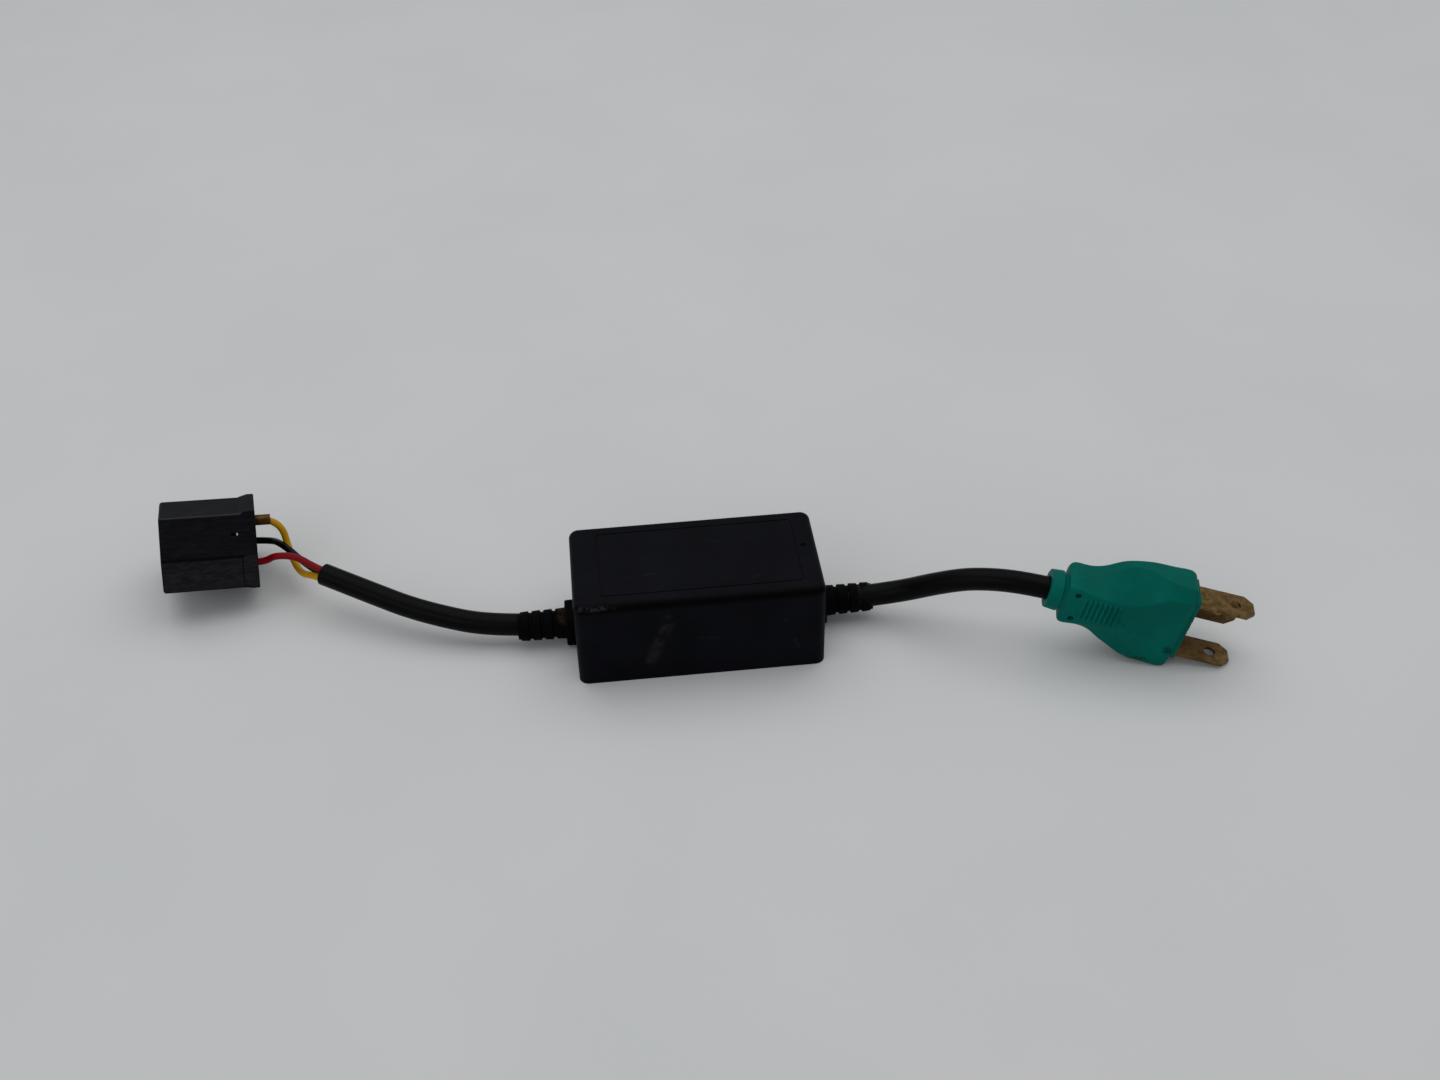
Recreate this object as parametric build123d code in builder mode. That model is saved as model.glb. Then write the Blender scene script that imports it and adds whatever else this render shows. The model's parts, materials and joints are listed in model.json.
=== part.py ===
from build123d import *
import math
import os

os.makedirs("parts", exist_ok=True)

# ---------------------------------------------------------------- driving dimensions (mm)
# Frame: origin at the bottom centre of the case, +X along the case toward the plug,
# +Y toward the back long side, +Z up.
case_l = 64.0
case_w = 33.0
case_h = 25.5
wall = 2.2
top_edge_r = 1.8
side_edge_r = 2.6
gland_y = 1.6
gland_z = 5.5
flange_side = 9.2
flange_t = 2.6
boot_d = 8.2
boot_l = 12.6
neck_d = 7.2
jacket_d = 6.0
jacket_bore = 4.6
wire_d = 1.9
blade_w = 8.0
blade_t = 0.8
blade_pitch = 17.0
blade_rise = 7.6
blade_out = 14.4
housing_l = 24.8
housing_w = 27.4
housing_h = 19.2
housing_flat = 14.0
housing_wall = 9.3
cavity_w = 9.2
cavity_h = 3.8

finished = []


def finish(builder, label):
    """Label one finished piece, write it and report its size."""
    builder.part.label = label
    export_step(builder.part, f"parts/{label}.step")
    finished.append(label)


def route_path(points):
    """Radii of the tangent arcs of one cord route, and its length."""
    radii = []
    for i in range(1, len(points) - 1):
        before = Vector(*points[i]) - Vector(*points[i - 1])
        after = Vector(*points[i + 1]) - Vector(*points[i])
        half = math.radians(before.get_angle(after)) / 2
        radii.append(0.45 * min(before.length, after.length) / math.tan(half))
    return radii


def report_cord(label, wire, radii, section, volume):
    """Print a cord's arc radii and compare its volume with section times length."""
    shown = ", ".join(f"{r:.0f}" for r in radii)
    length = sum(edge.length for edge in wire.edges())
    ratio = volume / (section * length)
    print(f"{label}: length {length:.1f} radii {shown} volume ratio {ratio:.4f}")


# ---------------------------------------------------------------- case shell
with BuildPart() as case_shell:
    with BuildSketch():
        Rectangle(case_l, case_w)
    extrude(amount=case_h)
    fillet(case_shell.edges().filter_by(Axis.Z), radius=side_edge_r)
    fillet(case_shell.faces().sort_by(Axis.Z)[-1].edges(), radius=top_edge_r)
    with BuildSketch(Plane.XY):
        RectangleRounded(case_l - 2 * wall, case_w - 2 * wall, 1.4)
    extrude(amount=case_h - wall, mode=Mode.SUBTRACT)
    # U slots in the end walls, open at the rim, for the two glands
    with BuildSketch(Plane.YZ.offset(-case_l / 2 - 1)):
        with Locations((gland_y, gland_z)):
            Circle(neck_d / 2 + 0.05)
        with Locations((gland_y, gland_z / 2 - 1)):
            Rectangle(neck_d + 0.1, gland_z + 2)
    extrude(amount=case_l + 2, mode=Mode.SUBTRACT)
    # screw bosses hanging from the roof down to the board
    with BuildSketch(Plane.XY.offset(13.3)):
        with GridLocations(50, 20, 2, 2):
            Circle(2.6)
    extrude(amount=case_h - wall - 13.3 + 0.2)
    with BuildSketch(Plane.XY.offset(13.3)):
        with GridLocations(50, 20, 2, 2):
            Circle(0.85)
    extrude(amount=7, mode=Mode.SUBTRACT)
    # shallow moulded outline around the roof and an ejector dimple near the plug end
    with BuildSketch(Plane.XY.offset(case_h - 0.22)):
        with Locations((0.9, 0.3)):
            RectangleRounded(51.6, 25.0, 1.2)
            RectangleRounded(51.0, 24.4, 0.9, mode=Mode.SUBTRACT)
    extrude(amount=1, mode=Mode.SUBTRACT)
    with BuildSketch(Plane.XY.offset(case_h - 0.35)):
        with Locations((28.4, 1.6)):
            Circle(0.75)
    extrude(amount=1, mode=Mode.SUBTRACT)
finish(case_shell, "case_shell")

# ---------------------------------------------------------------- base cover
cover_l = case_l - 2 * wall - 0.2
cover_w = case_w - 2 * wall - 0.2
with BuildPart() as base_cover:
    with BuildSketch(Plane.XY.offset(0.4)):
        RectangleRounded(cover_l, cover_w, 1.2)
    extrude(amount=1.4)
    # tongues that close the foot of each gland slot
    with BuildSketch(Plane.XY.offset(0.4)):
        for side in (-1, 1):
            with Locations((side * (cover_l / 2 + 0.9), gland_y)):
                Rectangle(2.6, neck_d - 0.2)
    extrude(amount=1.3)
    # two stiffening ribs along the inside
    with BuildSketch(Plane.XY.offset(1.8)):
        with GridLocations(0, 17, 1, 2):
            Rectangle(44, 1.2)
    extrude(amount=1.2)
finish(base_cover, "base_cover")

# ---------------------------------------------------------------- circuit board
board_z = 11.7
board_t = 1.6
with BuildPart() as circuit_board:
    with BuildSketch(Plane.XY.offset(board_z)):
        RectangleRounded(57.0, 26.4, 1.0)
        with GridLocations(50, 20, 2, 2):
            Circle(1.15, mode=Mode.SUBTRACT)
    extrude(amount=board_t)
finish(circuit_board, "circuit_board")

with BuildPart() as board_screw:
    with BuildSketch(Plane.XY.offset(board_z)):
        Circle(2.0)
    extrude(amount=-1.3)
    with BuildSketch(Plane.XY.offset(board_z)):
        Circle(0.8)
    extrude(amount=6.5)
    with BuildSketch(Plane.XY.offset(board_z - 1.3)):
        Rectangle(2.2, 0.5)
        Rectangle(0.5, 2.2)
    extrude(amount=0.6, mode=Mode.SUBTRACT)
screw_spots = [(-25, -10), (25, -10), (-25, 10), (25, 10)]
for index, (sx, sy) in enumerate(screw_spots):
    screw = Pos(sx, sy, 0) * board_screw.part
    screw.label = f"board_screw_{index + 1}"
    export_step(screw, f"parts/{screw.label}.step")

# ---------------------------------------------------------------- components on the board
top_of_board = board_z + board_t
for index, (cx, cy) in enumerate([(-16.0, 6.0), (-7.0, 6.0)]):
    with BuildPart() as capacitor:
        with BuildSketch(Plane.XY.offset(top_of_board)):
            with Locations((cx, cy)):
                Circle(3.9)
        extrude(amount=8.6)
        fillet(capacitor.faces().sort_by(Axis.Z)[-1].edges(), radius=0.5)
    finish(capacitor, f"capacitor_{index + 1}")

for index, cy in enumerate([-2.2, -9.0]):
    with BuildPart() as power_resistor:
        with BuildSketch(Plane.XY.offset(top_of_board + 0.2)):
            with Locations((-9.0, cy)):
                RectangleRounded(18.0, 5.2, 0.6)
        extrude(amount=5.0)
        chamfer(power_resistor.edges().filter_by(Axis.X), length=0.35)
    finish(power_resistor, f"power_resistor_{index + 1}")

with BuildPart() as controller_chip:
    with BuildSketch(Plane.XY.offset(top_of_board + 0.1)):
        with Locations((10.0, 5.5)):
            Rectangle(10.2, 6.2)
    extrude(amount=2.6)
    with BuildSketch(Plane.XY.offset(top_of_board)):
        with Locations((10.0, 5.5)):
            with GridLocations(1.27, 7.6, 8, 2):
                Rectangle(0.45, 1.8)
    extrude(amount=0.9)
finish(controller_chip, "controller_chip")

for index, cx in enumerate([6.5, 17.5]):
    with BuildPart() as power_transistor:
        with BuildSketch(Plane.XY.offset(top_of_board)):
            with Locations((cx, -4.0)):
                Rectangle(10.0, 4.4)
        extrude(amount=8.0)
        with BuildSketch(Plane.XY.offset(top_of_board)):
            with Locations((cx, -1.5)):
                Rectangle(10.0, 1.2)
        extrude(amount=9.4)
    finish(power_transistor, f"power_transistor_{index + 1}")

with BuildPart() as inductor:
    with BuildSketch(Plane.XY.offset(top_of_board)):
        with Locations((19.6, 5.0)):
            Circle(4.2)
            Circle(1.8, mode=Mode.SUBTRACT)
    extrude(amount=4.6)
    fillet(inductor.edges().filter_by(GeomType.CIRCLE).group_by(Axis.Z)[-1], radius=0.7)
finish(inductor, "inductor")

for index, cy in enumerate([-9.6, -12.0]):
    with BuildPart() as diode:
        with BuildSketch(Plane.YZ.offset(3.0)):
            with Locations((cy, top_of_board + 1.5)):
                Circle(1.1)
        extrude(amount=5.2)
        with BuildSketch(Plane.YZ.offset(0.8)):
            with Locations((cy, top_of_board + 1.5)):
                Circle(0.3)
        extrude(amount=9.6)
    finish(diode, f"diode_{index + 1}")

# ---------------------------------------------------------------- glands with ribbed boots
left_axis = Vector(-1, 0, 0)
right_axis = Vector(1, -0.045, 0.057).normalized()
left_root = Vector(-case_l / 2, gland_y, gland_z)
right_root = Vector(case_l / 2, gland_y, gland_z)


def boot_plane(root, axis, distance):
    """Plane across a boot, a given distance outside the end wall."""
    return Plane(origin=root + axis * distance, x_dir=(0, 1, 0), z_dir=axis)


for label, root, axis, side in (
    ("gland_left", left_root, left_axis, -1),
    ("gland_right", right_root, right_axis, 1),
):
    with BuildPart() as gland:
        # square flange outside the wall
        with BuildSketch(Plane.YZ.offset(side * (case_l / 2 + 0.05))):
            with Locations((gland_y, gland_z)):
                RectangleRounded(flange_side, flange_side, 1.1)
        extrude(amount=side * flange_t)
        fillet(gland.faces().sort_by(Axis.X)[-1 if side > 0 else 0].edges(), radius=0.5)
        # neck through the slot and the lock plate behind the wall
        with BuildSketch(Plane.YZ.offset(side * (case_l / 2 - wall - 1.4))):
            with Locations((gland_y, gland_z)):
                Circle(neck_d / 2)
        extrude(amount=side * (wall + 1.6))
        with BuildSketch(Plane.YZ.offset(side * (case_l / 2 - wall - 1.4))):
            with Locations((gland_y, gland_z + 0.6)):
                RectangleRounded(flange_side, flange_side - 3.0, 0.8)
        extrude(amount=side * 1.3)
        # ribbed boot, slightly tapered outward
        with BuildSketch(boot_plane(root, axis, 1.2)):
            Circle(boot_d / 2 - 0.62)
        extrude(amount=flange_t + boot_l - 1.2)
        for ring in range(4):
            at = flange_t + 0.35 + ring * 3.1
            outer = boot_d / 2 - 0.05 * ring
            with BuildSketch(boot_plane(root, axis, at)):
                Circle(outer)
            with BuildSketch(boot_plane(root, axis, at + 2.2)):
                Circle(outer - 0.12)
            loft()
        # bore for the jacket
        with BuildSketch(boot_plane(root, axis, -wall - 3.0)):
            Circle(jacket_d / 2 + 0.02)
        extrude(amount=boot_l + flange_t + wall + 5.0, mode=Mode.SUBTRACT)
    finish(gland, label)

# ---------------------------------------------------------------- plug placement
plug_face = Vector(123.77, -25.36, 12.12)
plug_axis = Vector(0.948, -0.242, -0.206).normalized()
down_hint = Vector(-0.202, 0.058, -0.982)
plug_down = (down_hint - plug_axis * plug_axis.dot(down_hint)).normalized()
plug_thick = plug_down.cross(plug_axis).normalized()
plug_section = Plane(origin=plug_face, x_dir=plug_down, z_dir=plug_axis)
plug_side = Plane(origin=plug_face, x_dir=plug_axis, z_dir=plug_thick)

# ---------------------------------------------------------------- jackets
left_route = [
    (-30.0, 1.6, 5.5),
    (-51.5, 1.6, 5.5),
    (-72.5, 8.0, 8.0),
    (-88.0, 16.6, 10.2),
    (-98.6, 22.9, 11.4),
]
right_tail = plug_face - plug_axis * 30.6
right_bend = plug_face - plug_axis * 40.2
right_start = right_root - right_axis * 2.0
right_exit = right_root + right_axis * 18.7
right_route = [
    tuple(right_start),
    tuple(right_exit),
    (66.6, -7.8, 17.4),
    (75.6, -12.1, 20.4),
    tuple(right_bend),
    tuple(right_tail),
]
for label, route in (("cable_jacket_left", left_route), ("cable_jacket_right", right_route)):
    radii = route_path(route)
    with BuildPart() as jacket:
        with BuildLine() as line:
            FilletPolyline(*route, radius=radii)
        with BuildSketch(Plane(origin=line.line @ 0, z_dir=line.line % 0)):
            Circle(jacket_d / 2)
            Circle(jacket_bore / 2, mode=Mode.SUBTRACT)
        sweep(transition=Transition.ROUND)
    ring_area = math.pi * (jacket_d**2 - jacket_bore**2) / 4
    report_cord(label, line.line, radii, ring_area, jacket.part.volume)
    finish(jacket, label)

# ---------------------------------------------------------------- lamp socket placement
# The housing lies tipped back on its rear lower edge, its mouth raised a little.
sock_origin = Vector(-143.0, 32.1, 7.6)
sock_x = Vector(0.978, 0.1585, -0.1357).normalized()
sock_up_hint = Vector(0.079, 0.3208, 0.9438)
sock_up = (sock_up_hint - sock_x * sock_x.dot(sock_up_hint)).normalized()
sock_y = sock_up.cross(sock_x).normalized()


def sock_plane(distance):
    """Section plane of the housing; x across, y up, measured from the mouth."""
    return Plane(origin=sock_origin + sock_x * distance, x_dir=sock_y, z_dir=sock_x)


def sock_point(distance, across, up):
    """A point of the housing frame in the part frame."""
    return tuple(sock_origin + sock_x * distance + sock_y * across + sock_up * up)


side_y = 8.9
side_z = 5.5
top_z = 14.5
with BuildPart() as socket_housing:
    half = housing_w / 2
    with BuildSketch(sock_plane(0)):
        with BuildLine():
            Polyline(
                (-half, 0),
                (half, 0),
                (half, housing_wall),
                (housing_flat / 2, housing_h),
                (-housing_flat / 2, housing_h),
                (-half, housing_wall),
                close=True,
            )
        make_face()
        fillet(vertices(), radius=1.0)
    extrude(amount=housing_l)
    chamfer(socket_housing.faces().sort_by(Axis((0, 0, 0), tuple(sock_x)))[0].edges(), length=0.5)
    # front and rear walls stand back a little under the slopes
    with BuildSketch(sock_plane(-1)):
        for side in (-1, 1):
            with Locations((side * (half + 0.7), housing_wall / 2 - 2.35)):
                Rectangle(2.0, housing_wall + 4.0)
    extrude(amount=housing_l - 1.8, mode=Mode.SUBTRACT)
    # collar at the wire end, proud at the roof and the base, with a ramp in front of it
    ramp = (
        (housing_l - 3.9, 0.05, 0.05, 0.0),
        (housing_l - 1.9, 0.6, 0.12, 0.35),
        (housing_l, 0.6, 0.12, 0.35),
    )
    for near, far in zip(ramp, ramp[1:]):
        for distance, roof, flank, base in (near, far):
            with BuildSketch(sock_plane(distance)):
                with BuildLine():
                    Polyline(
                        (-half - flank + 0.9, -base),
                        (half + flank - 0.9, -base),
                        (half + flank, -base + 0.9),
                        (half + flank, housing_wall + flank),
                        (housing_flat / 2 + flank + roof / 2, housing_h + roof),
                        (-housing_flat / 2 - flank - roof / 2, housing_h + roof),
                        (-half - flank, housing_wall + flank),
                        (-half - flank, -base + 0.9),
                        close=True,
                    )
                make_face()
        loft(ruled=True)
    # contact cavities, open at both ends
    with BuildSketch(sock_plane(-1)):
        with Locations((0, top_z)):
            Rectangle(cavity_w, cavity_h)
        with Locations((-side_y, side_z), (side_y, side_z)):
            Rectangle(cavity_h, cavity_w)
    extrude(amount=housing_l + 2, mode=Mode.SUBTRACT)
    # lightening recess between the side cavities, open at the mouth
    with BuildSketch(sock_plane(-1)):
        with Locations((0, 5.0)):
            RectangleRounded(9.6, 5.6, 0.8)
    extrude(amount=17, mode=Mode.SUBTRACT)
    # small lance hole in each slope, near the wire end
    run = Vector(0, half - housing_flat / 2, housing_h - housing_wall)
    for side in (-1, 1):
        along = 0.48
        hole_y = side * (housing_flat / 2 + along * run.Y)
        hole_z = housing_h - along * run.Z
        outward = sock_y * (side * run.Z) + sock_up * run.Y
        hole_origin = Vector(*sock_point(19.0, hole_y, hole_z))
        with BuildSketch(Plane(origin=hole_origin, x_dir=sock_x, z_dir=outward)):
            SlotOverall(1.5, 0.9)
        extrude(amount=-1.3, mode=Mode.SUBTRACT)
finish(socket_housing, "socket_housing")

# ---------------------------------------------------------------- female terminals
# A folded brass sleeve in each cavity; the upper one has backed out by 5.4 mm.
terminal_specs = (
    ("terminal_upper", 0.0, top_z, False, 5.4),
    ("terminal_rear", side_y, side_z, True, 0.0),
    ("terminal_front", -side_y, side_z, True, 0.0),
)
for label, across, up, upright, slip in terminal_specs:
    with BuildPart() as terminal:
        w, h = (3.0, 8.7) if upright else (8.7, 3.0)
        with BuildSketch(sock_plane(4.0 + slip)):
            with Locations((across, up)):
                Rectangle(w, h)
                Rectangle(w - 0.9, h - 0.9, mode=Mode.SUBTRACT)
        extrude(amount=12.0)
        # web from the sleeve to the crimp
        with BuildSketch(sock_plane(15.4 + slip)):
            with Locations((across, up)):
                Rectangle(w, h)
        extrude(amount=0.6)
        with BuildSketch(sock_plane(15.8 + slip)):
            with Locations((across, up)):
                Circle(1.45)
        extrude(amount=7.6)
        with BuildSketch(sock_plane(17.2 + slip)):
            with Locations((across, up)):
                Circle(wire_d / 2 + 0.01)
        extrude(amount=9, mode=Mode.SUBTRACT)
        # rolled crimp ears leave a narrow seam
        with BuildSketch(sock_plane(17.4 + slip)):
            with Locations((across, up + 1.2)):
                Rectangle(0.3, 1.2)
        extrude(amount=9, mode=Mode.SUBTRACT)
    finish(terminal, label)

# ---------------------------------------------------------------- lead wires at the socket
jacket_end = Vector(*left_route[-1])
jacket_dir = (Vector(*left_route[-2]) - jacket_end).normalized()
jacket_up = (Vector(0, 0, 1) - jacket_dir * jacket_dir.Z).normalized()
jacket_side = jacket_dir.cross(jacket_up).normalized()
seat_r = 1.16


def in_jacket(depth, up, side):
    """Seat of one wire in the jacket bore, a given depth inside the jacket's end."""
    return tuple(jacket_end + jacket_dir * depth + (jacket_up * up + jacket_side * side) * seat_r)


wire_routes = (
    (
        "wire_yellow",
        [
            sock_point(25.6, 0, top_z),
            sock_point(31.4, 0, top_z),
            (-109.9, 38.8, 6.2),
            (-106.4, 30.6, 5.8),
            in_jacket(-2.0, -0.5, 0.866),
            in_jacket(4.0, -0.5, 0.866),
        ],
    ),
    (
        "wire_black",
        [
            sock_point(17.4, side_y, side_z),
            sock_point(28.3, side_y, side_z),
            (-110.6, 36.0, 12.4),
            (-105.2, 31.2, 10.9),
            in_jacket(-1.8, -0.5, -0.866),
            in_jacket(4.2, -0.5, -0.866),
        ],
    ),
    (
        "wire_red",
        [
            sock_point(22.1, -side_y, side_z),
            sock_point(26.6, -side_y, side_z),
            (-112.3, 29.0, 15.0),
            (-105.7, 27.3, 15.6),
            in_jacket(-2.2, 1.0, 0.0),
            in_jacket(4.6, 1.0, 0.0),
        ],
    ),
)
for label, route in wire_routes:
    radii = route_path(route)
    with BuildPart() as lead:
        with BuildLine() as line:
            FilletPolyline(*route, radius=radii)
        with BuildSketch(Plane(origin=line.line @ 0, z_dir=line.line % 0)):
            Circle(wire_d / 2)
        sweep(transition=Transition.ROUND)
    report_cord(label, line.line, radii, math.pi * wire_d**2 / 4, lead.part.volume)
    finish(lead, label)

# ---------------------------------------------------------------- leads from the jackets to the board
for side, name in ((-1, "left"), (1, "right")):
    for index, (dy, dz) in enumerate(((-0.866, 0.5), (0.866, 0.5), (0.0, -1.0))):
        y0 = gland_y + dy * seat_r
        z0 = gland_z + dz * seat_r
        reach = 22.5 - 2.5 * (index == 2)
        pad_y = gland_y + (-4.2, 4.2, 0.0)[index]
        route = [
            (side * 32.0, y0, z0),
            (side * 27.4, y0, z0),
            (side * reach, pad_y, board_z - 1.6),
        ]
        with BuildPart() as tail:
            with BuildLine() as line:
                FilletPolyline(*route, radius=2.4)
            with BuildSketch(Plane(origin=line.line @ 0, z_dir=line.line % 0)):
                Circle(wire_d / 2)
            sweep(transition=Transition.ROUND)
            # tinned end standing in its pad
            with BuildSketch(Plane(origin=route[2], z_dir=(0, 0, 1)).offset(-0.4)):
                Circle(0.7)
            extrude(amount=2.0)
        finish(tail, f"board_lead_{name}_{index + 1}")

# ---------------------------------------------------------------- plug body
# Sections along the plug: distance, half width of the front panel, half width of
# the body, height of the front shoulder on the lower and on the upper side, height
# of the back shoulder, half width and height of the roof, height of the front panel.
front_w = 5.0
back_w = 11.4
body_sections = [
    (-32.6, 4.8, 5.6, 3.6, 3.0, -3.6, 4.2, -4.6, 4.4),
    (-31.8, 5.6, 6.5, 4.2, 2.6, -4.6, 5.0, -5.6, 4.9),
    (-30.4, 5.7, 6.6, 4.2, 1.6, -4.9, 5.2, -5.8, 5.0),
    (-27.6, 5.2, 6.5, 3.9, 0.2, -5.0, 5.0, -5.8, 5.0),
    (-24.6, 4.6, 7.2, 3.6, -1.4, -5.0, 5.2, -6.4, 5.0),
    (-21.8, 4.2, 9.0, 3.1, -2.2, -4.9, 5.6, -7.8, 5.0),
    (-18.8, 4.3, 10.9, 2.9, -2.4, -4.8, 6.0, -9.6, 5.1),
    (-15.6, 5.0, 12.0, 3.8, -2.0, -4.6, 6.4, -10.9, 5.3),
    (-12.6, 6.4, 12.6, 4.7, -0.8, -4.5, 6.4, -11.4, 5.5),
    (-9.8, 8.6, 12.8, 4.9, 1.0, -4.4, 6.4, -11.4, 5.6),
    (-6.4, 9.8, 12.9, 4.9, 2.4, -4.4, 6.4, -11.4, 5.6),
    (-2.6, 9.9, 12.8, 4.8, 3.0, -4.4, 6.4, -11.4, 5.5),
    (-1.6, 9.3, 12.2, 4.4, 2.8, -3.9, 5.9, -10.8, 5.1),
]
plug_profile = Plane(origin=plug_face, x_dir=plug_axis, z_dir=plug_down)
with BuildPart() as plug_body:
    for at, panel, width, lower, upper, back, roof, top, face in body_sections:
        with BuildSketch(plug_section.offset(at)):
            with BuildLine():
                Polyline(
                    (-panel, -face),
                    (panel, -face),
                    (width, -lower),
                    (width, -back),
                    (roof, -top),
                    (-roof, -top),
                    (-width, -back),
                    (-width, -upper),
                    close=True,
                )
            make_face()
            fillet(vertices(), radius=0.6)
    loft()
    # stepped lip around the blades
    with BuildSketch(plug_section.offset(-2.2)):
        with BuildLine():
            Polyline(
                (-10.0, -4.2),
                (10.0, -4.2),
                (10.0, 5.2),
                (5.6, 10.2),
                (-5.6, 10.2),
                (-10.0, 5.2),
                close=True,
            )
        make_face()
        fillet(vertices(), radius=0.8)
    extrude(amount=2.2)
    # strain relief collar at the cable end
    with BuildSketch(plug_section.offset(-34.6)):
        Circle(4.6)
    extrude(amount=3.6)
    with BuildSketch(plug_section.offset(-36.7)):
        Circle(5.0)
    with BuildSketch(plug_section.offset(-33.5)):
        Circle(5.3)
    loft()
    with BuildSketch(plug_section.offset(-38)):
        Circle(jacket_d / 2)
    extrude(amount=38 - 30.6, mode=Mode.SUBTRACT)
    # blade pockets
    with BuildSketch(plug_section.offset(-11)):
        with Locations((-blade_pitch / 2, 0), (blade_pitch / 2, 0)):
            Rectangle(blade_t, blade_w)
        with Locations((0, blade_rise)):
            Rectangle(blade_w, blade_t)
    extrude(amount=12, mode=Mode.SUBTRACT)
    # grip ribs on the front panel
    with BuildSketch(plug_side.offset(front_w - 0.2)):
        with Locations((-23.2, 0)):
            with GridLocations(1.3, 0, 8, 1):
                SlotOverall(7.0, 0.75, rotation=90)
    extrude(amount=0.85)
    # core-pin holes and two small drain pockets
    with BuildSketch(plug_side.offset(front_w + 1)):
        with Locations((-29.8, 3.6), (-29.4, -4.1)):
            Circle(0.75)
    extrude(amount=-2.6, mode=Mode.SUBTRACT)
    with BuildSketch(plug_side.offset(front_w + 1)):
        with Locations((-3.0, -6.6)):
            RectangleRounded(1.5, 2.2, 0.5)
    extrude(amount=-1.2, mode=Mode.SUBTRACT)
    with BuildSketch(plug_profile.offset(14)):
        with Locations((-8.6, 3.4)):
            RectangleRounded(2.6, 1.4, 0.5)
    extrude(amount=-2.0, mode=Mode.SUBTRACT)
finish(plug_body, "plug_body")

# ---------------------------------------------------------------- plug blades
blade_outline = [
    (-10.9, -blade_w / 2),
    (blade_out - 2.3, -blade_w / 2),
    (blade_out, -1.8),
    (blade_out, 1.8),
    (blade_out - 2.3, blade_w / 2),
    (-10.9, blade_w / 2),
]
blade_planes = (
    ("blade_upper", plug_profile.offset(-blade_pitch / 2)),
    ("blade_lower", plug_profile.offset(blade_pitch / 2)),
    ("blade_centre", plug_side.offset(-blade_rise)),
)
for label, plane in blade_planes:
    with BuildPart() as blade:
        with BuildSketch(plane):
            with BuildLine():
                Polyline(*blade_outline, close=True)
            make_face()
            with Locations((blade_out - 5.1, 0)):
                Circle(1.5, mode=Mode.SUBTRACT)
        extrude(amount=blade_t / 2, both=True)
        chamfer(blade.faces().sort_by(Axis((0, 0, 0), tuple(plug_axis)))[-1].edges(), length=0.2)
    finish(blade, label)

print("pieces written:", len(finished) + len(screw_spots))
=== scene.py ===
import json
import math

import bpy
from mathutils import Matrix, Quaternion, Vector


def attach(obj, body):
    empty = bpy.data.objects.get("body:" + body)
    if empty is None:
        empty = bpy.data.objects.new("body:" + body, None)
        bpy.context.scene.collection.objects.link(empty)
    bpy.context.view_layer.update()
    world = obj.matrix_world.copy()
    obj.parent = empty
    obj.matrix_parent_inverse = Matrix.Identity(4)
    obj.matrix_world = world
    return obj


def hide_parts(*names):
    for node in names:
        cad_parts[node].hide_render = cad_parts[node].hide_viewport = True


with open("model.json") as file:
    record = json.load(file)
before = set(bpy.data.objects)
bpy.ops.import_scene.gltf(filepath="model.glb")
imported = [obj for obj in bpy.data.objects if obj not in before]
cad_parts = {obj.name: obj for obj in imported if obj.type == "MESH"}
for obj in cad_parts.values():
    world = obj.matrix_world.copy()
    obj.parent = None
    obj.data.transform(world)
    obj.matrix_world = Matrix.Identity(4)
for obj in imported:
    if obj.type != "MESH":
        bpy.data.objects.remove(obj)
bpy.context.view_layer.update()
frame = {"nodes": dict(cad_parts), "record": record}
nodes = frame["nodes"]
MM = 0.001

JACKET_D = 6.0
WIRE_D = 1.9
SENSOR_WIDTH = 36.0
LENS = 40.0
CLIP_START = 0.01
CLIP_END = 20.0
CAMERA_ROLL_DEG = -1.3
FLOOR_HALF = 3.0
FLOOR_DROP = 0.00002
WORLD_STRENGTH = 0.40


def mm(*values):
    """A point given in millimetres, in metres."""
    return Vector(values) * MM


# ---------------------------------------------------------------- camera
def make_camera():
    data = bpy.data.cameras.new("camera")
    data.sensor_width = SENSOR_WIDTH
    data.lens = LENS
    data.clip_start = CLIP_START
    data.clip_end = CLIP_END
    obj = bpy.data.objects.new("camera", data)
    bpy.context.scene.collection.objects.link(obj)
    eye = mm(-23.07, -315.19, 289.84)
    target = mm(10.2, 37.4, 0.0)
    turn = (target - eye).to_track_quat("-Z", "Y")
    roll = Quaternion((0, 0, 1), math.radians(CAMERA_ROLL_DEG))
    obj.rotation_mode = "QUATERNION"
    obj.location = eye
    obj.rotation_quaternion = turn @ roll
    bpy.context.scene.camera = obj


# ---------------------------------------------------------------- cords
def cord_curve(name, points, diameter):
    """A round cord on one smooth NURBS line through given control points in millimetres."""
    data = bpy.data.curves.new(name, "CURVE")
    data.dimensions = "3D"
    data.resolution_u = 24
    data.bevel_depth = diameter / 2 * MM
    data.bevel_resolution = 8
    data.use_fill_caps = True
    spline = data.splines.new("NURBS")
    spline.points.add(len(points) - 1)
    for point, place in zip(spline.points, points):
        point.co = (*mm(*place), 1.0)
    spline.order_u = 3
    spline.use_endpoint_u = True
    obj = bpy.data.objects.new(name, data)
    bpy.context.scene.collection.objects.link(obj)
    return obj


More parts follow.
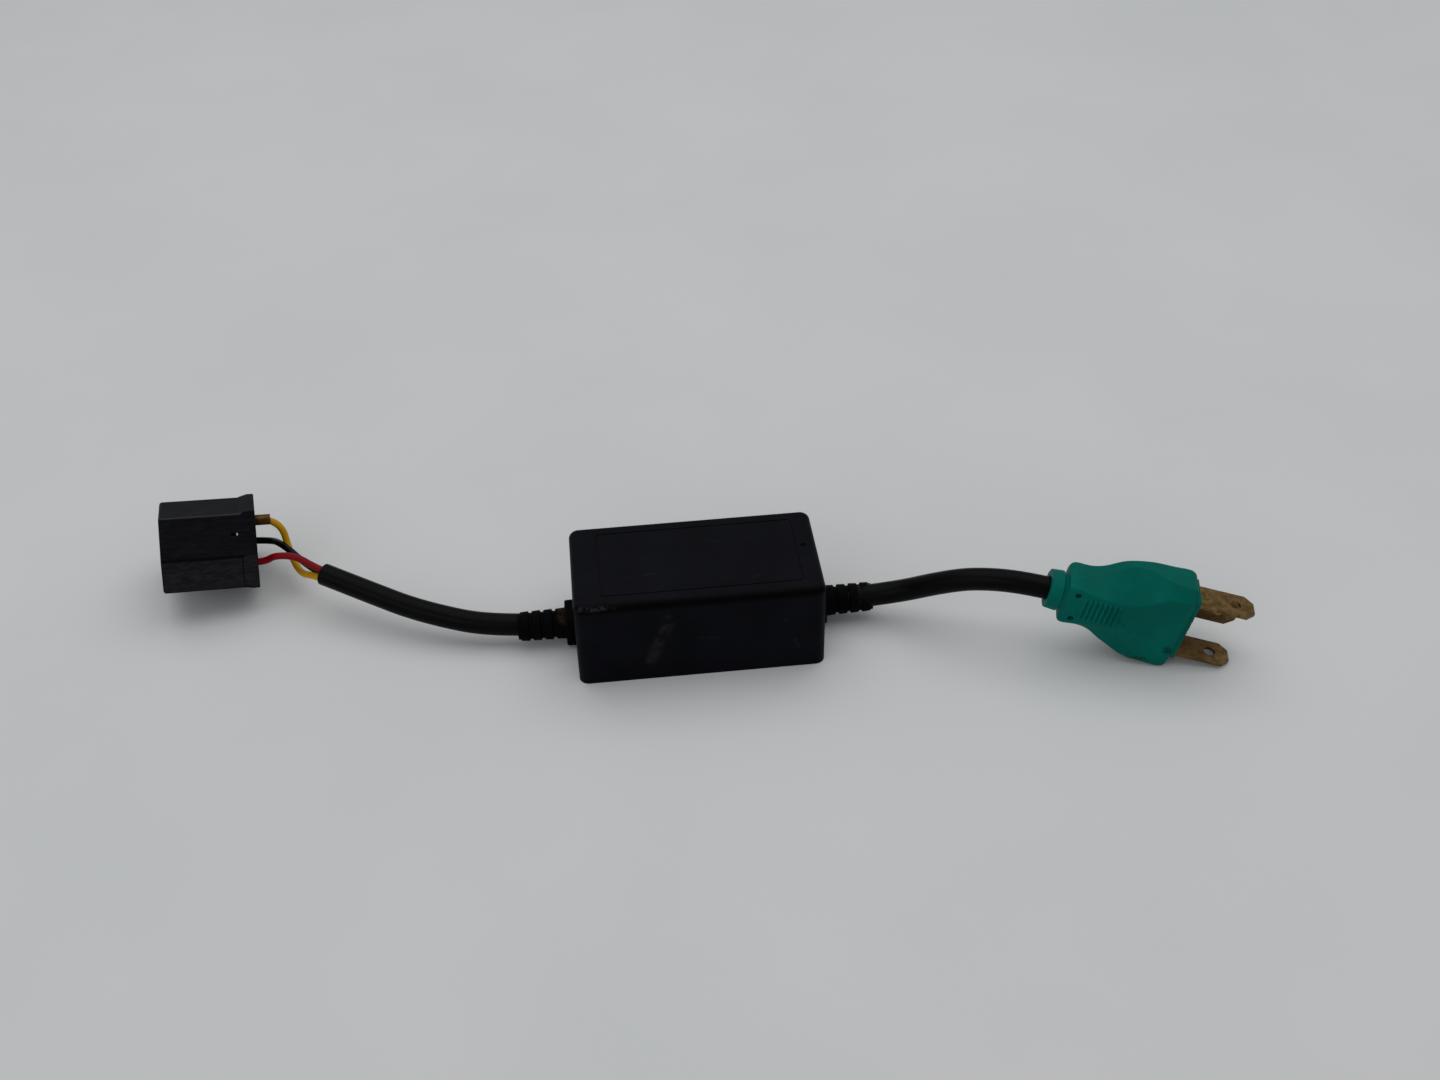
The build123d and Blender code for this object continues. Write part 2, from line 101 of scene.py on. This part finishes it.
make_camera()
left_cable = cord_curve(
    "left_cable",
    [
        (-30.0, 1.6, 5.5),
        (-51.5, 1.6, 5.5),
        (-72.5, 8.0, 8.0),
        (-88.0, 16.6, 10.2),
        (-98.6, 22.9, 11.4),
    ],
    JACKET_D,
)
right_cable = cord_curve(
    "right_cable",
    [
        (30.01, 1.69, 5.39),
        (50.65, 0.76, 6.56),
        (66.6, -7.8, 17.4),
        (75.6, -12.1, 20.4),
        (85.65, -15.63, 20.4),
        (94.76, -17.95, 18.42),
    ],
    JACKET_D,
)
yellow_lead = cord_curve(
    "yellow_lead",
    [
        (-116.82, 40.81, 17.81),
        (-111.15, 41.73, 17.02),
        (-109.9, 38.8, 6.2),
        (-106.4, 30.6, 5.8),
        (-100.87, 23.08, 11.02),
        (-95.74, 20.03, 10.44),
    ],
    WIRE_D,
)
black_lead = cord_curve(
    "black_lead",
    [
        (-127.27, 44.93, 7.75),
        (-116.61, 46.66, 6.27),
        (-110.6, 36.0, 12.4),
        (-105.2, 30.3, 10.5),
        (-99.8, 24.4, 10.6),
        (-94.54, 21.66, 10.42),
    ],
    WIRE_D,
)
red_lead = cord_curve(
    "red_lead",
    [
        (-119.23, 29.06, 12.47),
        (-114.83, 29.77, 11.86),
        (-111.8, 29.2, 14.2),
        (-105.7, 27.2, 14.9),
        (-100.39, 23.96, 12.77),
        (-94.57, 20.5, 12.11),
    ],
    WIRE_D,
)


# ---------------------------------------------------------------- material helpers
class Mat:
    """A principled material with short calls for the nodes that vary it."""

    def __init__(self, name):
        self.mat = bpy.data.materials.new(name)
        self.mat.use_nodes = True
        self.tree = self.mat.node_tree
        self.bsdf = self.tree.nodes["Principled BSDF"]
        self.coord = self.tree.nodes.new("ShaderNodeTexCoord").outputs["Object"]

    def link(self, source, target):
        self.tree.links.new(source, target)

    def put(self, socket, value):
        """Set a constant or link an output to a socket."""
        if hasattr(value, "is_linked"):
            self.link(value, socket)
        elif isinstance(value, (tuple, list)) and len(value) == 3 and socket.type == "RGBA":
            socket.default_value = (*value, 1.0)
        else:
            socket.default_value = value

    def mapped(self, scale=(1, 1, 1), rotation=(0, 0, 0), location=(0, 0, 0)):
        node = self.tree.nodes.new("ShaderNodeMapping")
        self.link(self.coord, node.inputs["Vector"])
        node.inputs["Scale"].default_value = scale
        node.inputs["Rotation"].default_value = rotation
        node.inputs["Location"].default_value = location
        return node.outputs["Vector"]

    def noise(self, scale, detail=4.0, rough=0.55, distortion=0.0, vector=None):
        node = self.tree.nodes.new("ShaderNodeTexNoise")
        self.link(vector or self.coord, node.inputs["Vector"])
        node.inputs["Scale"].default_value = scale
        node.inputs["Detail"].default_value = detail
        node.inputs["Roughness"].default_value = rough
        node.inputs["Distortion"].default_value = distortion
        return node.outputs["Fac"]

    def voronoi(self, scale):
        node = self.tree.nodes.new("ShaderNodeTexVoronoi")
        self.link(self.coord, node.inputs["Vector"])
        node.inputs["Scale"].default_value = scale
        return node.outputs["Distance"]

    def ramp(self, factor, low, high, start=0.0, end=1.0):
        node = self.tree.nodes.new("ShaderNodeMapRange")
        node.interpolation_type = "SMOOTHSTEP"
        self.link(factor, node.inputs["Value"])
        node.inputs["From Min"].default_value = low
        node.inputs["From Max"].default_value = high
        node.inputs["To Min"].default_value = start
        node.inputs["To Max"].default_value = end
        return node.outputs["Result"]

    def calc(self, operation, first, second=0.0):
        node = self.tree.nodes.new("ShaderNodeMath")
        node.operation = operation
        self.put(node.inputs[0], first)
        self.put(node.inputs[1], second)
        return node.outputs["Value"]

    def mix(self, factor, first, second):
        node = self.tree.nodes.new("ShaderNodeMix")
        node.data_type = "RGBA"
        self.put(node.inputs["Factor"], factor)
        self.put(node.inputs[6], first)
        self.put(node.inputs[7], second)
        return node.outputs[2]

    def bump(self, height, distance, strength=1.0, below=None):
        node = self.tree.nodes.new("ShaderNodeBump")
        node.inputs["Strength"].default_value = strength
        node.inputs["Distance"].default_value = distance
        self.link(height, node.inputs["Height"])
        if below:
            self.link(below, node.inputs["Normal"])
        return node.outputs["Normal"]

    def edges(self, low=0.52, high=0.58):
        """Convex edge mask from the surface's pointiness."""
        node = self.tree.nodes.new("ShaderNodeNewGeometry")
        return self.ramp(node.outputs["Pointiness"], low, high)

    def stroke(self, start, end, width):
        """Mask of one thin mark between two points in millimetres."""
        a = mm(*start)
        b = mm(*end)
        along = b - a
        sub = self.tree.nodes.new("ShaderNodeVectorMath")
        sub.operation = "SUBTRACT"
        self.link(self.coord, sub.inputs[0])
        sub.inputs[1].default_value = a
        dot = self.tree.nodes.new("ShaderNodeVectorMath")
        dot.operation = "DOT_PRODUCT"
        self.link(sub.outputs["Vector"], dot.inputs[0])
        dot.inputs[1].default_value = along / along.length_squared
        place = self.ramp(dot.outputs["Value"], 0.0, 1.0)
        place.node.interpolation_type = "LINEAR"
        step = self.tree.nodes.new("ShaderNodeVectorMath")
        step.operation = "SCALE"
        step.inputs[0].default_value = along
        self.link(place, step.inputs["Scale"])
        gap = self.tree.nodes.new("ShaderNodeVectorMath")
        gap.operation = "DISTANCE"
        self.link(sub.outputs["Vector"], gap.inputs[0])
        self.link(step.outputs["Vector"], gap.inputs[1])
        return self.ramp(gap.outputs["Value"], width * 0.25 * MM, width * MM, 1.0, 0.0)

    def facing(self, direction, low=0.9, high=0.97):
        """Mask of the faces that look along one direction of the frame."""
        node = self.tree.nodes.new("ShaderNodeNewGeometry")
        dot = self.tree.nodes.new("ShaderNodeVectorMath")
        dot.operation = "DOT_PRODUCT"
        self.link(node.outputs["Normal"], dot.inputs[0])
        dot.inputs[1].default_value = Vector(direction).normalized()
        return self.ramp(dot.outputs["Value"], low, high)

    def over(self, mask, colour, amount=1.0, broken=0.0):
        """Lay a mark over the base colour, broken up by noise if asked."""
        socket = self.bsdf.inputs["Base Color"]
        under = socket.links[0].from_socket
        mask = self.calc("MULTIPLY", mask, amount)
        if broken:
            mask = self.calc("MULTIPLY", mask, self.ramp(self.noise(broken, 4.0, 0.7), 0.42, 0.62))
        self.link(self.mix(mask, under, colour), socket)

    def base(self, value):
        self.put(self.bsdf.inputs["Base Color"], value)

    def rough(self, value):
        self.put(self.bsdf.inputs["Roughness"], value)

    def normal(self, value):
        self.link(value, self.bsdf.inputs["Normal"])

    def fixed(self, **values):
        for key, value in values.items():
            self.bsdf.inputs[key.replace("_", " ")].default_value = value


def moulded(name, base, light, rough, grain, spec):
    """Moulded plastic or rubber: cloudy tone, fine spark grain, faint rubbed streaks and dust."""
    m = Mat(name)
    cloud = m.noise(70.0, 3.0, 0.6)
    fine = m.noise(2600.0, 3.0, 0.7)
    streak = m.noise(1.0, 4.0, 0.65, vector=m.mapped((240, 2200, 2200), (0.2, 0.3, 0.5)))
    rubbed = m.ramp(streak, 0.62, 0.78)
    tone = m.mix(m.ramp(cloud, 0.35, 0.7), base, light)
    pale = tuple(min(1, c * 2.2 + 0.01) for c in light)
    tone = m.mix(m.calc("MULTIPLY", rubbed, 0.25), tone, pale)
    dust = m.ramp(m.voronoi(520.0), 0.0, 0.09, 1.0, 0.0)
    dust = m.calc("MULTIPLY", dust, m.ramp(m.noise(160.0, 2.0), 0.6, 0.75))
    tone = m.mix(m.calc("MULTIPLY", dust, 0.35), tone, (0.32, 0.31, 0.29))
    m.base(tone)
    base_rough = m.ramp(cloud, 0.3, 0.75, rough - 0.05, rough + 0.07)
    m.rough(m.calc("ADD", base_rough, m.ramp(rubbed, 0, 1, 0, -0.06)))
    m.fixed(Specular_IOR_Level=spec)
    low = m.bump(m.noise(220.0, 2.0), 0.00006, 0.35)
    m.normal(m.bump(fine, grain, 0.5, low))
    return m


# ---------------------------------------------------------------- materials
case_mat = moulded(
    "case_plastic", (0.0028, 0.0030, 0.0048), (0.0046, 0.0049, 0.0075), 0.45, 0.00002, 0.03,
)
cover_mat = moulded("cover_plastic", (0.004, 0.004, 0.005), (0.007, 0.007, 0.008), 0.5, 0.00003, 0.08)
gland_mat = moulded(
    "gland_rubber", (0.0008, 0.0008, 0.001), (0.0018, 0.0017, 0.0018), 0.6, 0.00004, 0.03,
)
jacket_mat = moulded(
    "cable_jacket", (0.0010, 0.0010, 0.0013), (0.0018, 0.0018, 0.0024), 0.33, 0.00002, 0.06,
)
socket_mat = moulded(
    "socket_plastic", (0.0020, 0.0021, 0.0034), (0.0032, 0.0033, 0.0052), 0.48, 0.00003, 0.035,
)
plug_mat = moulded("plug_plastic", (0.0, 0.096, 0.075), (0.0, 0.128, 0.101), 0.42, 0.00003, 0.035)
yellow_mat = moulded("wire_yellow", (0.46, 0.22, 0.002), (0.60, 0.33, 0.004), 0.36, 0.00001, 0.12)
black_mat = moulded("wire_black", (0.0018, 0.0018, 0.0022), (0.0035, 0.0035, 0.004), 0.36, 0.00001, 0.1)
red_mat = moulded("wire_red", (0.17, 0.001, 0.004), (0.25, 0.003, 0.008), 0.36, 0.00001, 0.1)


def metal(name, base, stain, rough, spots=(0.02, 0.013, 0.008)):
    """Sheet metal with tarnish clouds, dark spots and drawn streaks."""
    m = Mat(name)
    cloud = m.noise(420.0, 6.0, 0.65, 0.6)
    streak = m.noise(1.0, 4.0, 0.6, vector=m.mapped((300, 2600, 2600), (0, 0.17, -0.25)))
    tone = m.mix(m.ramp(cloud, 0.38, 0.62), base, stain)
    dark = tuple(c * 0.45 for c in base)
    tone = m.mix(m.calc("MULTIPLY", m.ramp(streak, 0.5, 0.75), 0.4), tone, dark)
    speck = m.ramp(m.noise(1500.0, 3.0, 0.7), 0.64, 0.72)
    tone = m.mix(m.calc("MULTIPLY", speck, 0.7), tone, spots)
    m.base(tone)
    m.rough(m.ramp(cloud, 0.3, 0.7, rough - 0.08, rough + 0.16))
    m.fixed(Metallic=1.0)
    low = m.bump(cloud, 0.00004, 0.5)
    m.normal(m.bump(streak, 0.00002, 0.5, low))
    return m


blade_mat = metal("blade_brass", (0.20, 0.125, 0.045), (0.10, 0.062, 0.024), 0.42)
terminal_mat = metal("terminal_brass", (0.10, 0.052, 0.014), (0.045, 0.022, 0.007), 0.42)
screw_mat = metal("screw_steel", (0.5, 0.5, 0.48), (0.38, 0.37, 0.35), 0.35, (0.1, 0.09, 0.08))
board_mat = moulded("board_laminate", (0.008, 0.09, 0.03), (0.012, 0.13, 0.05), 0.35, 0.00001, 0.5)
can_mat = moulded("capacitor_can", (0.01, 0.01, 0.035), (0.016, 0.016, 0.05), 0.3, 0.00001, 0.5)
ceramic_mat = moulded("resistor_ceramic", (0.55, 0.53, 0.48), (0.66, 0.64, 0.6), 0.7, 0.00005, 0.3)
ferrite_mat = moulded("ferrite", (0.03, 0.03, 0.03), (0.05, 0.05, 0.05), 0.6, 0.00004, 0.3)
epoxy_mat = moulded("component_epoxy", (0.012, 0.012, 0.012), (0.02, 0.02, 0.02), 0.5, 0.00003, 0.4)

# marks seen on the pieces: rubbed smears, small nicks and stains; also painted highlights, a painted
# reflection band and painted shade along edges, painted shade on the socket roof and painted light on
# its front face
case_marks_and_edge_light = (
    # start, end, width, colour, amount, broken
    # painted reflection: near-black band along the case's front-top rounded edge
    ((-30.5, -16.2, 25.0), (30.5, -16.2, 25.0), 2.3, (0.0003, 0.0003, 0.0005), 0.9, 0.0),
    ((-7.7, -16.5, 20.3), (-13.3, -16.5, 6.5), 2.2, (0.020, 0.020, 0.021), 0.6, 190.0),
    ((23.4, -16.5, 9.3), (24.6, -16.5, 7.0), 1.3, (0.02, 0.02, 0.021), 0.4, 300.0),
    # painted highlights: lighter lines along the left end of the front-top edge and along the left top
    # edge
    ((-31.5, -15.8, 24.9), (-22.0, -16.3, 25.2), 1.1, (0.030, 0.031, 0.034), 0.6, 900.0),
    ((-31.9, -14.6, 24.6), (-31.9, -2.0, 24.9), 0.8, (0.028, 0.029, 0.032), 0.5, 900.0),
)
for start, end, width, colour, amount, broken in case_marks_and_edge_light:
    case_mat.over(case_mat.stroke(start, end, width), colour, amount, broken)
for start, end in (
    ((-18.0, -6.0, 25.5), (-9.5, -4.6, 25.5)),
    ((3.0, 7.4, 25.5), (9.0, 5.2, 25.5)),
    ((14.5, -9.2, 25.5), (18.2, -8.0, 25.5)),
    ((-25.0, 3.2, 25.5), (-22.4, 5.0, 25.5)),
    ((-2.0, -16.5, 13.0), (4.4, -16.5, 12.1)),
    ((12.0, -16.5, 17.6), (15.5, -16.5, 19.0)),
    ((-24.0, -16.5, 9.0), (-20.6, -16.5, 10.0)),
):
    case_mat.over(case_mat.stroke(start, end, 0.2), (0.03, 0.031, 0.034), 0.4, 500.0)
# painted highlight: a light line along the socket's roof edge
roof_highlight_line = socket_mat.stroke((-139.6, 31.8, 27.8), (-119.6, 35.05, 25.0), 0.6)
socket_mat.over(roof_highlight_line, (0.042, 0.046, 0.052), 0.8)
rub = socket_mat.noise(1.0, 5.0, 0.7, vector=socket_mat.mapped((130, 1500, 1500), (0.3, 0.14, 0.16)))
rub = socket_mat.ramp(rub, 0.40, 0.68)
front = socket_mat.facing((0.193, -0.934, 0.301))
socket_mat.over(socket_mat.calc("MULTIPLY", rub, front), (0.042, 0.034, 0.036), 0.55)
# painted light: the whole front face made lighter
socket_mat.over(front, (0.020, 0.017, 0.018), 0.4)
socket_mat.over(rub, (0.014, 0.0145, 0.019), 0.3)
# painted shade: a near-black line along the step between the socket's front wall and slope
step_shade_line = socket_mat.stroke((-139.1, 22.3, 20.5), (-119.1, 25.5, 17.7), 0.65)
socket_mat.over(step_shade_line, (0.0004, 0.0004, 0.0005), 0.9)
# painted shade: the upward-facing roof faces made darker
socket_mat.over(socket_mat.facing((0.08, 0.32, 0.94)), (0.0009, 0.0010, 0.0018), 0.45)
speck = socket_mat.stroke((-120.72, 30.3, 21.65), (-120.55, 30.33, 21.63), 0.45)
socket_mat.over(speck, (0.6, 0.6, 0.58), 1.0)
base_stain = gland_mat.stroke((-35.4, -2.6, 9.0), (-35.6, 2.6, 9.6), 1.6)
gland_mat.over(base_stain, (0.030, 0.018, 0.010), 0.7, 500.0)
plug_scuff = plug_mat.noise(1.0, 5.0, 0.7, vector=plug_mat.mapped((200, 900, 900), (0.2, 0.4, 0.3)))
plug_mat.over(plug_mat.ramp(plug_scuff, 0.6, 0.74), (0.012, 0.075, 0.062), 0.4)
# painted highlight: lighter green on the plug's convex edges and ridge
plug_mat.over(plug_mat.edges(0.53, 0.6), (0.01, 0.16, 0.135), 0.3)
for start, end, width in (
    ((117.8, -29.4, 6.9), (118.9, -29.6, 5.5), 1.6),
    ((109.6, -27.2, 3.4), (113.2, -28.2, 2.2), 1.4),
    ((105.6, -25.8, 14.4), (108.5, -27.0, 11.5), 0.5),
    ((94.95, -23.2, 21.7), (95.05, -23.2, 21.7), 0.9),
    ((93.8, -22.8, 14.1), (93.9, -22.8, 14.1), 0.9),
):
    plug_mat.over(plug_mat.stroke(start, end, width), (0.004, 0.018, 0.015), 0.75, 700.0)
by_slot = {
    "case_plastic": case_mat,
    "cover_plastic": cover_mat,
    "gland_rubber": gland_mat,
    "cable_jacket": jacket_mat,
    "socket_plastic": socket_mat,
    "plug_plastic": plug_mat,
    "wire_yellow": yellow_mat,
    "wire_black": black_mat,
    "wire_red": red_mat,
    "blade_brass": blade_mat,
    "terminal_brass": terminal_mat,
    "screw_steel": screw_mat,
    "board_laminate": board_mat,
    "capacitor_can": can_mat,
    "resistor_ceramic": ceramic_mat,
    "ferrite": ferrite_mat,
    "component_epoxy": epoxy_mat,
}
slot_of = {part["node"]: part["material_slot"] for part in frame["record"]["subparts"]}
for name, obj in nodes.items():
    obj.data.materials.clear()
    obj.data.materials.append(by_slot[slot_of[name]].mat)


# ---------------------------------------------------------------- softened copies of moulded parts
def softened(node, name, voxel, smooth, material):
    """A moulded piece with rounded edges, made from a fine remesh of its CAD solid."""
    source = nodes[node]
    mesh = source.data.copy()
    obj = bpy.data.objects.new(name, mesh)
    bpy.context.scene.collection.objects.link(obj)
    remesh = obj.modifiers.new("remesh", "REMESH")
    remesh.mode = "VOXEL"
    remesh.voxel_size = voxel * MM
    relax = obj.modifiers.new("relax", "SMOOTH")
    relax.factor = 0.5
    relax.iterations = smooth
    graph = bpy.context.evaluated_depsgraph_get()
    obj.data = bpy.data.meshes.new_from_object(obj.evaluated_get(graph))
    obj.modifiers.clear()
    for face in obj.data.polygons:
        face.use_smooth = True
    obj.data.materials.clear()
    obj.data.materials.append(material.mat)
    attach(obj, "root")
    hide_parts(node)
    return obj


plug_piece = softened("plug_body", "plug_moulding", 0.2, 5, plug_mat)
socket_piece = softened("socket_housing", "socket_moulding", 0.2, 2, socket_mat)
softened("gland_left", "left_boot", 0.14, 2, gland_mat)
softened("gland_right", "right_boot", 0.14, 2, gland_mat)

for curve, node, material in (
    (left_cable, "cable_jacket_left", jacket_mat),
    (right_cable, "cable_jacket_right", jacket_mat),
    (yellow_lead, "wire_yellow", yellow_mat),
    (black_lead, "wire_black", black_mat),
    (red_lead, "wire_red", red_mat),
):
    curve.data.materials.append(material.mat)
    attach(curve, "root")
    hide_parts(node)


# ---------------------------------------------------------------- floor and light
def make_floor():
    mesh = bpy.data.meshes.new("floor")
    far = FLOOR_HALF
    corners = [(-far, -far, 0), (far, -far, 0), (far, far, 0), (-far, far, 0)]
    mesh.from_pydata(corners, [], [(0, 1, 2, 3)])
    obj = bpy.data.objects.new("floor", mesh)
    bpy.context.scene.collection.objects.link(obj)
    obj.location.z = -FLOOR_DROP
    m = Mat("floor_paper")
    m.base(m.mix(m.ramp(m.noise(9.0, 3.0), 0.3, 0.7), (0.60, 0.615, 0.62), (0.625, 0.635, 0.64)))
    m.rough(0.75)
    m.normal(m.bump(m.noise(900.0, 3.0), 0.00002, 0.3))
    obj.data.materials.append(m.mat)


def area_light(name, place, aim, size, power, colour):
    data = bpy.data.lights.new(name, "AREA")
    data.shape = "RECTANGLE"
    data.size = size[0]
    data.size_y = size[1]
    data.energy = power
    data.color = colour
    obj = bpy.data.objects.new(name, data)
    bpy.context.scene.collection.objects.link(obj)
    obj.location = place
    obj.rotation_mode = "QUATERNION"
    obj.rotation_quaternion = (Vector(aim) - Vector(place)).to_track_quat("-Z", "Y")


make_floor()
area_light("key", (0.05, 0.25, 1.1), (0, 0, 0), (1.7, 1.3), 7.0, (1.0, 0.995, 0.985))
area_light("fill", (-0.9, -0.9, 0.8), (0, 0, 0), (1.2, 0.9), 2.6, (0.97, 0.98, 1.0))
world = bpy.data.worlds.new("studio")
world.use_nodes = True
world.node_tree.nodes["Background"].inputs["Color"].default_value = (0.97, 0.985, 1.0, 1.0)
world.node_tree.nodes["Background"].inputs["Strength"].default_value = WORLD_STRENGTH
bpy.context.scene.world = world
bpy.context.scene.view_settings.view_transform = "Standard"
